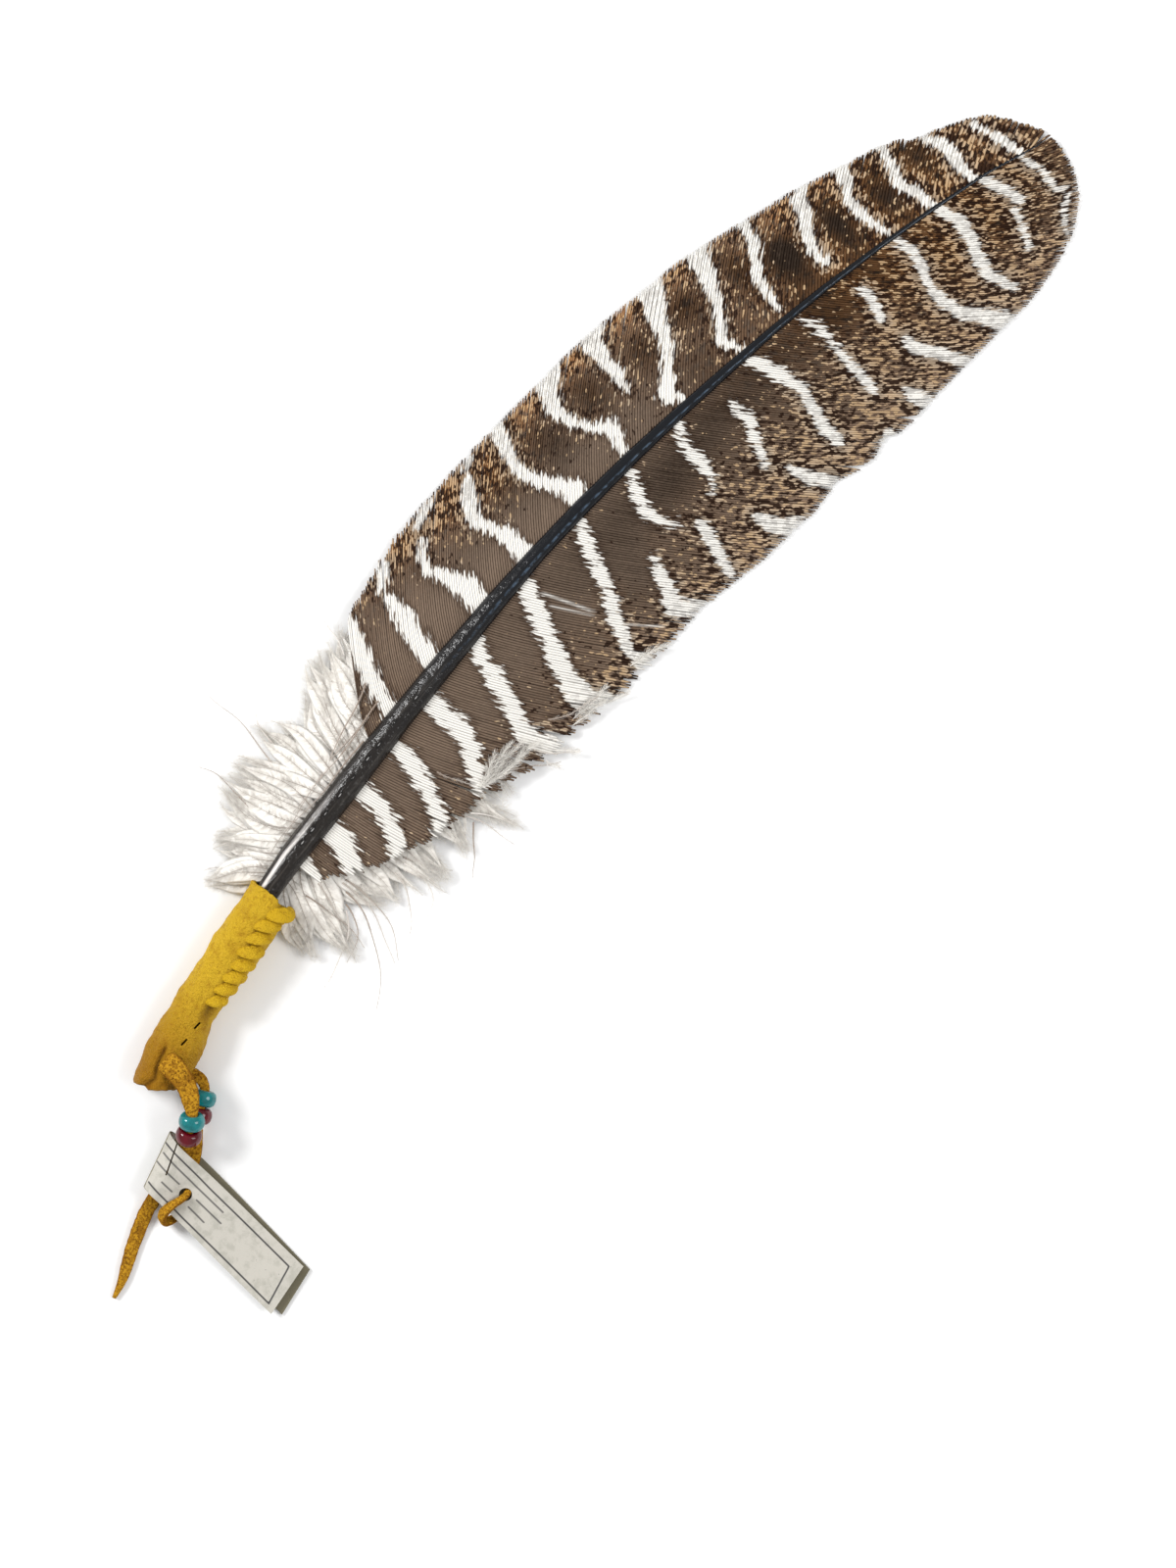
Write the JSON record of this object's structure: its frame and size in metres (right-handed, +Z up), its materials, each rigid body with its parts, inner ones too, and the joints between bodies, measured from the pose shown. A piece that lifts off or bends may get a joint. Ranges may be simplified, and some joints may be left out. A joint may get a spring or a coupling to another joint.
{
  "type": "turkey wing feather",
  "caption": "Barred turkey wing feather with a downy base, its quill held in a laced leather handle with beaded suede laces and a folded tag.",
  "frame": {"origin": "on the surface that the feather lies on, under the middle of the box round the feather and its handle, without the laces, beads and tag", "axes": "+Y from the handle to the feather's tip, +X towards the narrow vane, +Z up from the surface, towards the side of the feather that faces up"},
  "size_m": [0.1072, 0.3436, 0.0125],
  "materials": {
    "feather": "satin barbs, barred dark brown and off-white, with matt white down",
    "buckskin": "matt",
    "seam_lace": "matt",
    "suede_lace": "napped suede",
    "turquoise_bead": "opaque, glossy",
    "red_bead": "opaque, glossy",
    "tag_card": "matt card"
  },
  "bodies": {
    "root": {"feather": "feather", "leather_wrap": "buckskin", "seam_lace": "seam_lace", "lace_front": "suede_lace", "lace_back": "suede_lace", "bead_turquoise_front": "turquoise_bead", "bead_red_front": "red_bead", "bead_turquoise_back": "turquoise_bead", "bead_red_back": "red_bead", "tag": "tag_card"}
  },
  "joints": []
}
